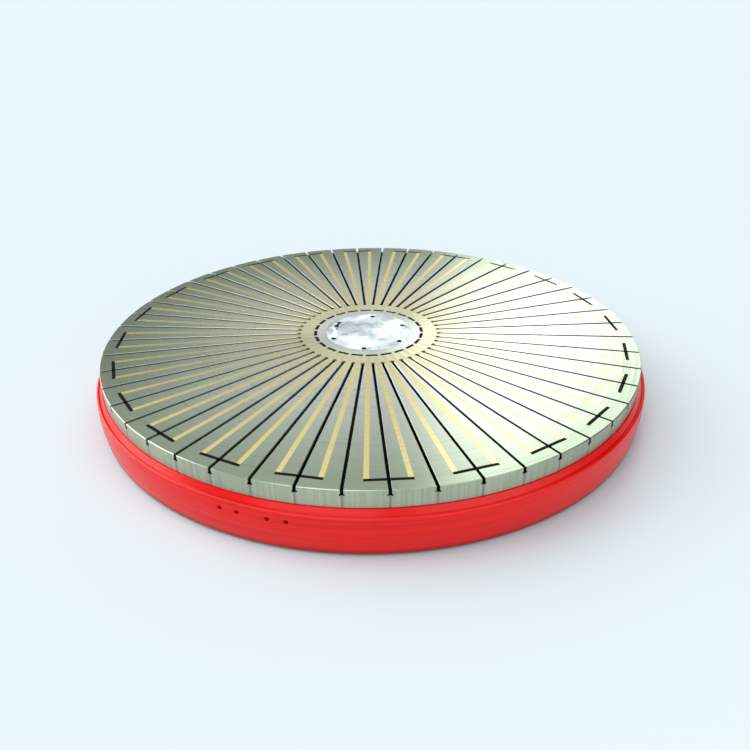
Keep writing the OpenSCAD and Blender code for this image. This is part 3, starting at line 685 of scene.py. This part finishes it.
# The maker, name, colour, roughness and grain in millimetres of each inner finish, and its nodes
INNER_FINISHES = (
    # Mid grey, a little cloudy from the cutter
    (machined, "machined soft iron", "iron", 0.42, 12,
     "yoke_plate yoke_rim_ring yoke_hub_ring pole_cores drive_hub"),
    # Warm and satin, darker where it has been handled
    (machined, "copper", "copper", 0.35, 5,
     "coils coil_links bus_ring_inner bus_ring_outer slip_ring_inner slip_ring_outer slip_ring_studs"),
    # Brown and slightly mottled by its paper layers
    (solid, "phenolic laminate", "laminate", 0.45, 8,
     "coil_bobbins bus_insulator slip_ring_carrier brush_holder terminal_board"),
    # Nearly black, with a soft grey sheen
    (machined, "black oxide", "black_oxide", 0.42, 6,
     "bottom_cover_screws bearing_base_screws bearing_table_screws"
     " rim_screws hub_screws pole_screws drive_hub_screws"),
    # Bright grey with a crisp ground sheen
    (machined, "bearing steel", "bearing", 0.28, 10, "bearing_outer_ring bearing_inner_ring"),
    # Near mirror
    (machined, "polished balls", "ball", 0.1, 20, "bearing_balls"),
    # Drawn wire, smooth and grey
    (machined, "spring wire", "spring", 0.3, 4, "brush_spring_inner brush_spring_outer"),
    # Yellow and bright from the lathe
    (machined, "turned brass", "terminal", 0.3, 4, "terminal_screws"),
    # Off-white and waxy
    (solid, "nylon", "nylon", 0.4, 6, "ball_spacers stud_bushes"),
    # Black and dull
    (solid, "rubber", "rubber", 0.7, 5, "rim_seal hub_seal bearing_seals"),
    # Black and duller still
    (solid, "gasket rubber", "gasket", 0.75, 5, "hub_cover_gasket"),
    # Dark grey with a faint pencil sheen
    (solid, "graphite", "graphite", 0.5, 3, "brush_inner brush_outer"),
    # Satin black, uneven from the brush
    (solid, "black paint", "paint", 0.45, 9, "bottom_cover"),
    # Dark red and smooth
    (solid, "wire insulation", "insulation", 0.45, 5, "brush_leads"),
)


class TABLE_OT_inside(bpy.types.Operator):
    """Finish the pieces inside the base and under the face"""

    bl_idname = "table.inside"
    bl_label = "Inner Pieces"

    def execute(self, context):
        colours = context.scene.table_colours
        for make, name, tint, roughness, grain, nodes in INNER_FINISHES:
            dress(make(name, getattr(colours, tint), roughness, grain * MM), *nodes.split())
        return {"FINISHED"}


# ---- Stage ----


def softbox(name, power, size, place, target, tint):
    """A rectangular area light that faces a target point."""
    light = bpy.data.lights.new(name, "AREA")
    light.energy, light.shape, light.size, light.size_y = power, "RECTANGLE", *size
    light.color = tint
    lamp = bpy.data.objects.new(name, light)
    lamp.location = place
    lamp.rotation_euler = (Vector(target) - Vector(place)).to_track_quat("-Z", "Y").to_euler()
    bpy.context.scene.collection.objects.link(lamp)


def make_camera(stage):
    """The camera, on an orbit round the face's centre, then panned, tilted and rolled."""
    orbit = Matrix.Rotation(stage.azimuth, 4, "Z") @ Matrix.Rotation(math.pi / 2 - stage.elevation, 4, "X")
    aim = (
        Matrix.Rotation(-stage.pan, 4, "Y")
        @ Matrix.Rotation(stage.tilt, 4, "X")
        @ Matrix.Rotation(stage.roll, 4, "Z")
    )
    centre = Matrix.Translation((0, 0, FACE_HIGH.z))
    data = bpy.data.cameras.new("camera")
    data.lens, data.sensor_width, data.clip_end = stage.lens, 36, 1000
    data.shift_x, data.shift_y = stage.shift_x, stage.shift_y
    camera = bpy.data.objects.new("camera", data)
    camera.matrix_world = centre @ orbit @ Matrix.Translation((0, 0, stage.distance)) @ aim
    bpy.context.scene.collection.objects.link(camera)
    bpy.context.scene.camera = camera


def make_floor(colours):
    """A wide, plain, pale floor under the table."""
    shape = bmesh.new()
    bmesh.ops.create_circle(shape, cap_ends=True, segments=96, radius=300)
    mesh = finished_mesh("floor", shape)
    floor = bpy.data.objects.new("floor", mesh)
    bpy.context.scene.collection.objects.link(floor)
    floor.data.materials.append(new_material("pale floor", Base_Color=(*colours.floor, 1), Roughness=0.9)[0])


# Soft pale walls round the table: direction, half width and soft edge in degrees, and strength
WALLS = ((69, 5, 8, 2.8), (160, 24, 13, 3.5), (98, 19, 23, 0.33), (247, 18, 11, 1.8), (314, 20, 20, 1.2))
GAP_GLOW = 0.02  # strength in the dark gaps between the walls
WALL_TOP, CEILING_START = 0.72, 0.9  # upward part of the direction, between which walls turn to ceiling
CEILING_TURN = 0.3  # sideways part of the direction, within which the ceiling dims from left to right
CEILING_DIM = 0.22  # share of the ceiling's strength that is left at the right
SKY_TINT = (0.95, 0.985, 1.0, 1)  # linear, a little blue
FILL_SIZE, FILL_PLACE, FILL_TINT = (3.2, 2.2), (2.4, -4.0, 1.7), (1, 0.99, 0.97)


def make_surround(stage):
    """A pale ceiling and pale walls with dark gaps, which draw bright and dark wedges on the steel."""
    world = bpy.data.worlds.new("surround")
    world.use_nodes = True
    tree = world.node_tree
    direction = add(tree, "ShaderNodeTexCoord", take="Generated")
    flat = add(tree, "ShaderNodeVectorMath", {0: direction, 1: (1, 1, 0)}, operation="MULTIPLY")
    level = add(tree, "ShaderNodeVectorMath", {0: flat}, operation="NORMALIZE")
    total = GAP_GLOW
    for azimuth, half, edge, strength in WALLS:
        turn = math.radians(azimuth)
        facing = add(
            tree, "ShaderNodeVectorMath", {0: level, 1: (math.cos(turn), math.sin(turn), 0)}, "Value",
            operation="DOT_PRODUCT",
        )
        far, near = math.cos(math.radians(half + edge)), math.cos(math.radians(half))
        ends = {"Value": facing, 1: far, 2: near, 3: 0, 4: strength}
        wall = add(tree, "ShaderNodeMapRange", ends, interpolation_type="SMOOTHSTEP")
        total = add(tree, "ShaderNodeMath", {0: total, 1: wall}, operation="ADD")
    walls = add(tree, "ShaderNodeMath", {0: total, 1: stage.surround}, operation="MULTIPLY")
    height = add(tree, "ShaderNodeSeparateXYZ", {0: direction}, "Z")
    up = add(tree, "ShaderNodeMapRange", {"Value": height, 1: WALL_TOP, 2: CEILING_START})
    across = add(tree, "ShaderNodeSeparateXYZ", {0: direction}, "X")
    dim = CEILING_DIM * stage.ceiling
    sides = {"Value": across, 1: -CEILING_TURN, 2: CEILING_TURN, 3: stage.ceiling, 4: dim}
    above = add(tree, "ShaderNodeMapRange", sides)
    strength = add(tree, "ShaderNodeMix", {0: up, 2: walls, 3: above})
    background = tree.nodes["Background"]
    background.inputs[0].default_value = SKY_TINT
    tree.links.new(strength, background.inputs[1])
    bpy.context.scene.world = world


class TABLE_OT_stage(bpy.types.Operator):
    """Set the floor, the lights and the camera"""

    bl_idname = "table.stage"
    bl_label = "Stage"

    def execute(self, context):
        stage, colours = context.scene.table_stage, context.scene.table_colours
        make_camera(stage)
        make_floor(colours)
        make_surround(stage)
        softbox("fill softbox", stage.fill, FILL_SIZE, FILL_PLACE, (0, 0, FACE_HIGH.z), FILL_TINT)
        context.scene.view_settings.view_transform = "Standard"
        return {"FINISHED"}


OPERATORS = (TABLE_OT_base, TABLE_OT_face, TABLE_OT_hub, TABLE_OT_inside, TABLE_OT_stage)


class TABLE_PT_panel(bpy.types.Panel):
    """The steps that dress the rotary table"""

    bl_idname = "TABLE_PT_panel"
    bl_label = "Rotary Table"
    bl_space_type = "VIEW_3D"
    bl_region_type = "UI"
    bl_category = "Rotary Table"

    def draw(self, context):
        for operator in OPERATORS:
            self.layout.operator(operator.bl_idname)


GROUPS = {
    "table_colours": TableColours,
    "table_face": TableFace,
    "table_base": TableBase,
    "table_stage": TableStage,
}


def register():
    for item in (*GROUPS.values(), *OPERATORS, TABLE_PT_panel):
        bpy.utils.register_class(item)
    for name, group in GROUPS.items():
        setattr(bpy.types.Scene, name, bpy.props.PointerProperty(type=group))


def unregister():
    for name in GROUPS:
        delattr(bpy.types.Scene, name)
    for item in (TABLE_PT_panel, *reversed(OPERATORS), *GROUPS.values()):
        bpy.utils.unregister_class(item)


def main():
    register()
    bpy.ops.table.base()
    bpy.ops.table.face()
    bpy.ops.table.hub()
    bpy.ops.table.inside()
    bpy.ops.table.stage()


if __name__ == "__main__":
    main()
